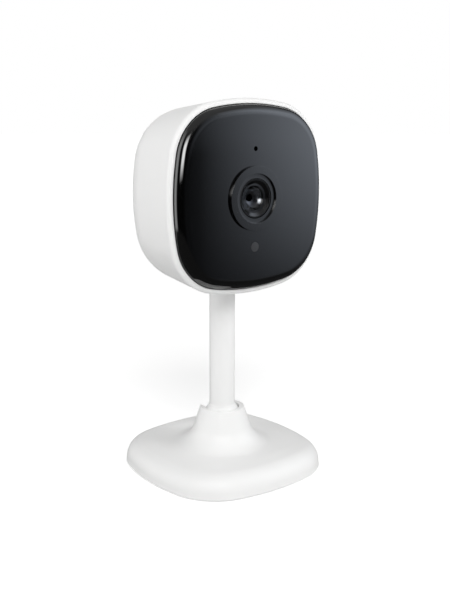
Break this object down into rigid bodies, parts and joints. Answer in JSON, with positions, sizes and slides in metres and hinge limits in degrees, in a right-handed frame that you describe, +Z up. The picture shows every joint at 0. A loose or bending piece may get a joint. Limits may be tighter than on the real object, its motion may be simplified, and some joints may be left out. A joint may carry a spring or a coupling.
{
  "type": "security camera",
  "caption": "Small indoor security camera: white domed head with a glossy black rounded-square face and ringed lens, on a slim stem whose ball joint tilts and folds back in a flared base.",
  "frame": {"origin": "under the middle of the base, on the surface that the camera stands on", "axes": "+Z up along the upright stem, -Y the way the lens looks, +X to the right of the face as seen from the front"},
  "size_m": [0.0526, 0.0524, 0.1062],
  "materials": {
    "shell_white": "satin moulded",
    "stem_white": "satin painted",
    "ball_white": "satin moulded",
    "panel_black": "polished",
    "ring_black": "satin moulded",
    "barrel_black": "black anodised",
    "lens_glass": "coated",
    "filter_glass": "coated",
    "window_grey": "smoked",
    "board_green": "lacquered",
    "inner_black": "moulded",
    "chip_black": "moulded",
    "light_clear": "clear",
    "coil_copper": "enamelled wire",
    "sink_metal": "extruded",
    "steel": "plated",
    "antenna_pale": "ceramic",
    "ribbon_amber": "film",
    "speaker_black": "moulded",
    "button_grey": "satin moulded",
    "inner_white": "moulded",
    "foot_rubber": "matt"
  },
  "bodies": {
    "base": {"base_shell": "shell_white", "base_plate": "inner_white", "ballast_plate": "steel", "rubber_foot": "foot_rubber", "base_screws": "steel", "socket_cup": "inner_white", "cone_washer": "steel", "socket_plate": "steel", "socket_screws": "steel"},
    "ball": {"joint_ball": "ball_white"},
    "stud": {"stem_stud": "steel"},
    "head": {"rear_shell": "shell_white", "stem_tube": "stem_white", "front_panel": "panel_black", "lens_ring": "ring_black", "lens_retainer": "ring_black", "lens_barrel": "barrel_black", "lens_lock_ring": "barrel_black", "front_lens": "lens_glass", "rear_lens": "lens_glass", "sensor_window": "window_grey", "led_board": "board_green", "main_board": "board_green", "socket_board": "board_green", "inner_frame": "inner_black", "lens_holder": "inner_black", "reset_switch": "inner_black", "image_sensor": "chip_black", "processor": "chip_black", "microphone": "chip_black", "infrared_lights": "light_clear", "status_light": "light_clear", "filter_coil": "coil_copper", "heat_sink": "sink_metal", "radio_shield": "steel", "power_socket": "steel", "head_screws": "steel", "board_screws": "steel", "clamp_screws": "steel", "antenna": "antenna_pale", "board_ribbon": "ribbon_amber", "speaker": "speaker_black", "stem_clamp": "inner_white", "microphone_boot": "foot_rubber"},
    "filter": {"filter_frame": "inner_black", "day_filter": "filter_glass", "night_window": "lens_glass"},
    "button": {"reset_button": "button_grey"}
  },
  "joints": [
    {"name": "lean", "type": "hinge", "parent": "base", "child": "ball", "pos_m": [0, 0, 0.0142], "axis": [0, 1, 0], "range_deg": [-8, 8]},
    {"name": "tilt", "type": "hinge", "parent": "ball", "child": "stud", "pos_m": [0, 0, 0.0142], "axis": [-1, 0, 0], "range_deg": [-15, 80]},
    {"name": "swivel", "type": "hinge", "parent": "stud", "child": "head", "pos_m": [0, 0, 0.0142], "axis": [0, 0, 1], "continuous": true},
    {"name": "filter_shift", "type": "slide", "parent": "head", "child": "filter", "axis": [1, 0, 0], "range_m": [0, 0.0065]},
    {"name": "reset_press", "type": "slide", "parent": "head", "child": "button", "axis": [0, -1, 0], "range_m": [0, 0.0005], "stiffness_N_per_m": 1500}
  ]
}
